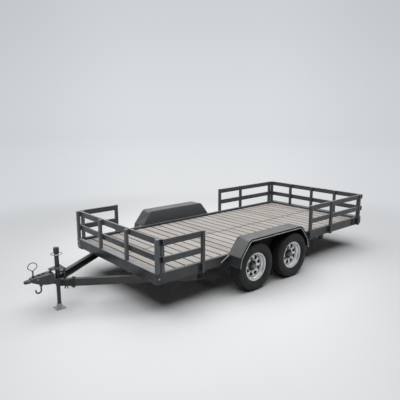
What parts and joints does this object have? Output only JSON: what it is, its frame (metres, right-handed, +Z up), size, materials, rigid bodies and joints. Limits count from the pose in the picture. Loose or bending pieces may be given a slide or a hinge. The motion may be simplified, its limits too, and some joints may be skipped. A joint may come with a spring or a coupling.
{
  "type": "tandem-axle utility trailer",
  "caption": "Tandem-axle utility trailer with a crosswise plank deck, low pipe-style guard rails, folded fenders, an A-frame tongue with a ball coupler, and a tongue jack.",
  "frame": {"origin": "on the ground on the centre plane, halfway along the overall length", "axes": "+X towards the coupler, +Y to the left, +Z up"},
  "size_m": [5.955, 2.61, 0.985],
  "materials": {
    "frame_paint": "satin charcoal paint",
    "deck_wood": "weathered bare planks",
    "rim": "silver paint",
    "tyre": "matt rubber",
    "hub": "dark satin",
    "hardware": "dull dark steel",
    "running_gear": "dark satin"
  },
  "bodies": {
    "trailer": {"axle_front": "running_gear", "axle_rear": "running_gear", "coupler": "frame_paint", "coupler_pin": "hardware", "cross_members": "frame_paint", "deck_planks": "deck_wood", "deck_strips": "frame_paint", "equalisers": "running_gear", "fender_braces": "frame_paint", "fender_left": "frame_paint", "fender_right": "frame_paint", "front_beam": "frame_paint", "front_posts": "frame_paint", "front_rails": "frame_paint", "jack_clamps": "hardware", "jack_plate": "frame_paint", "jack_ring": "hardware", "jack_tube": "frame_paint", "leaf_springs": "running_gear", "rear_beam": "frame_paint", "rear_posts": "frame_paint", "rear_rails": "frame_paint", "safety_hook": "hardware", "side_beam_left": "frame_paint", "side_beam_right": "frame_paint", "side_posts": "frame_paint", "side_rails": "frame_paint", "spring_hangers": "running_gear", "tie_plates": "running_gear", "tongue_left": "frame_paint", "tongue_right": "frame_paint"},
    "wheel_front_left": {"tyre_front_left": "tyre", "rim_front_left": "rim", "hub_front_left": "hub"},
    "wheel_front_right": {"tyre_front_right": "tyre", "rim_front_right": "rim", "hub_front_right": "hub"},
    "wheel_rear_left": {"tyre_rear_left": "tyre", "rim_rear_left": "rim", "hub_rear_left": "hub"},
    "wheel_rear_right": {"tyre_rear_right": "tyre", "rim_rear_right": "rim", "hub_rear_right": "hub"},
    "jack_foot_leg": {"jack_leg": "frame_paint", "jack_foot": "hardware"}
  },
  "joints": [
    {"name": "wheel_front_left_spin", "type": "hinge", "parent": "trailer", "child": "wheel_front_left", "pos_m": [0.1975, 1.1875, 0.344], "axis": [0, 1, 0], "continuous": true},
    {"name": "wheel_front_right_spin", "type": "hinge", "parent": "trailer", "child": "wheel_front_right", "pos_m": [0.1975, -1.1875, 0.344], "axis": [0, 1, 0], "continuous": true},
    {"name": "wheel_rear_left_spin", "type": "hinge", "parent": "trailer", "child": "wheel_rear_left", "pos_m": [-0.6225, 1.1875, 0.344], "axis": [0, 1, 0], "continuous": true},
    {"name": "wheel_rear_right_spin", "type": "hinge", "parent": "trailer", "child": "wheel_rear_right", "pos_m": [-0.6225, -1.1875, 0.344], "axis": [0, 1, 0], "continuous": true},
    {"name": "jack_slide", "type": "slide", "parent": "trailer", "child": "jack_foot_leg", "axis": [0, 0, 1], "range_m": [-0.1, 0.16]}
  ]
}
